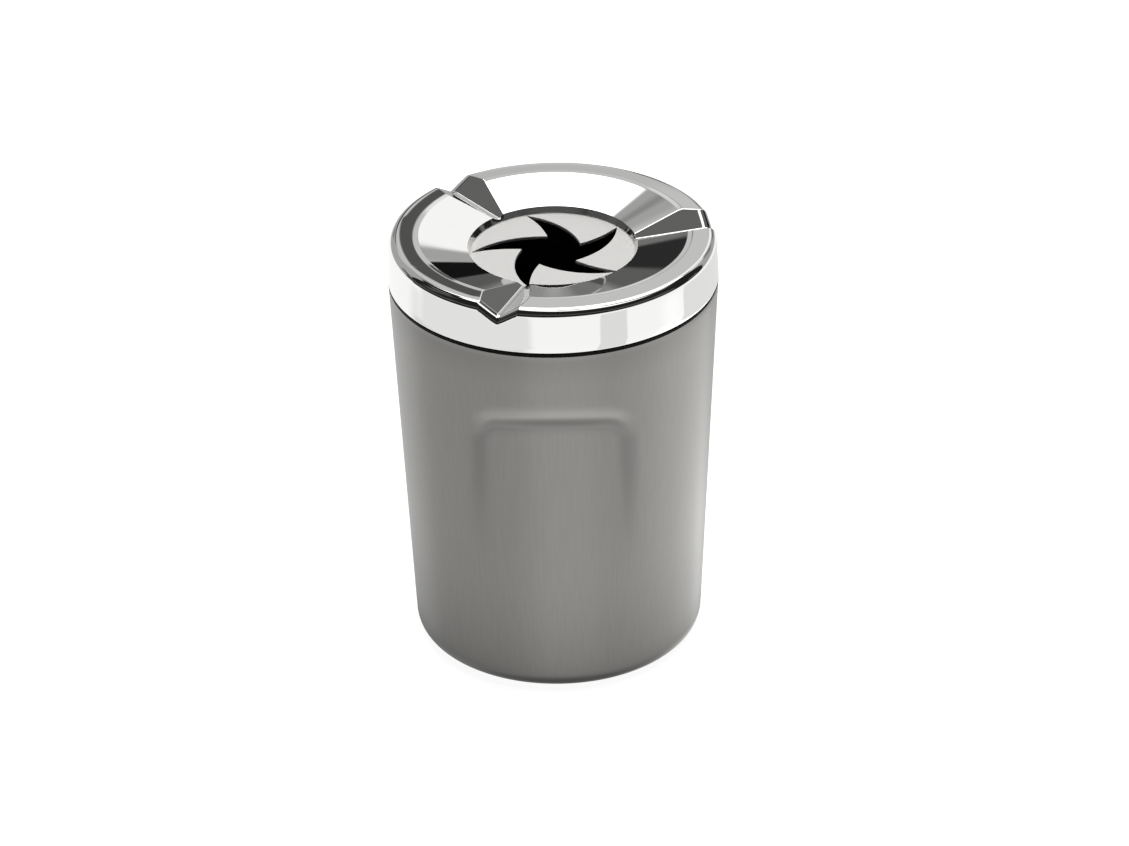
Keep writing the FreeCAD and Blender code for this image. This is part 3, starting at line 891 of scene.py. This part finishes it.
def paint_between(tree, gaze, below, edges, softness, tone):
    """Lay a tone over what is below it, inside planes given by a normal and how far it is moved."""
    mask = None
    for normal, offset in edges:
        beyond = add_node(tree, "ShaderNodeVectorMath", {"operation": "DOT_PRODUCT"}, {0: gaze, 1: normal})
        reach = math.sin(math.radians(softness))
        inside = add_node(tree, "ShaderNodeMapRange", {"interpolation_type": "SMOOTHSTEP"}, {
            "Value": beyond.outputs["Value"], "From Min": offset - reach, "From Max": offset + reach,
            "To Min": 0.0, "To Max": 1.0}).outputs["Result"]
        if mask is None:
            mask = inside
        else:
            both = add_node(tree, "ShaderNodeMath", {"operation": "MULTIPLY"}, {0: mask, 1: inside})
            mask = both.outputs[0]
    return add_node(tree, "ShaderNodeMix", {"data_type": "RGBA"}, {
        "Factor": mask, "A": below, "B": (tone, tone, tone, 1)}).outputs["Result"]


def light_studio():
    world = bpy.data.worlds.new("studio")
    scene.world = world
    world.use_nodes = True
    tree = world.node_tree
    tree.nodes.clear()
    place = add_node(tree, "ShaderNodeTexCoord")
    gaze = place.outputs["Generated"]
    parts = add_node(tree, "ShaderNodeSeparateXYZ", inputs={"Vector": gaze})
    rise = add_node(tree, "ShaderNodeMath", {"operation": "ARCSINE"}, {0: parts.outputs["Z"]})
    elevation = add_node(tree, "ShaderNodeMath", {"operation": "DEGREES"}, {0: rise.outputs[0]}).outputs[0]
    tone = tone_ramp(tree, elevation, studio_tones)
    tone = paint_between(tree, gaze, tone, room_edges, room_softness, room_tone)
    for *place_of_panel, softness, panel_tone in panels:
        edges = [(normal, 0) for normal in panel_edges(*place_of_panel)]
        tone = paint_between(tree, gaze, tone, edges, softness, panel_tone)
    path = add_node(tree, "ShaderNodeLightPath")
    studio = add_node(tree, "ShaderNodeBackground", inputs={"Color": tone, "Strength": 1.0})
    white = add_node(tree, "ShaderNodeBackground", inputs={"Color": (1, 1, 1, 1), "Strength": 1.0})
    shown = add_node(tree, "ShaderNodeMixShader", inputs={
        0: path.outputs["Is Camera Ray"], 1: studio.outputs["Background"], 2: white.outputs["Background"]})
    add_node(tree, "ShaderNodeOutputWorld", inputs={"Surface": shown.outputs["Shader"]})


light_studio()

# Camera at the photograph's angle: a long lens a little to the right of the panel, looking down on the lid
photo_width = 1129
photo_height = 846
camera_distance = 1293.7 * mm
camera_elevation = math.radians(29.736)
camera_bearing = math.radians(1.37)
camera_roll = math.radians(-1.0)
focal_pixels = 5246.7
aim_height = 50.64 * mm
aim_pixel = (556.2, 441.4)

camera_data = bpy.data.cameras.new("camera")
camera = bpy.data.objects.new("camera", camera_data)
scene.collection.objects.link(camera)
scene.camera = camera
camera_data.sensor_width = 36.0
camera_data.lens = focal_pixels / photo_width * camera_data.sensor_width
camera_data.shift_x = (photo_width / 2 - aim_pixel[0]) / photo_width
camera_data.shift_y = (aim_pixel[1] - photo_height / 2) / photo_width
camera_data.clip_end = 50.0
aim = Vector((0, 0, aim_height))
outward = Vector((math.sin(camera_bearing) * math.cos(camera_elevation),
                  -math.cos(camera_bearing) * math.cos(camera_elevation), math.sin(camera_elevation)))
camera.location = aim + outward * camera_distance
turn = (-outward).to_track_quat("-Z", "Y").to_matrix().to_4x4()
camera.matrix_world = Matrix.Translation(camera.location) @ turn @ Matrix.Rotation(camera_roll, 4, "Z")

scene.view_settings.view_transform = "Standard"
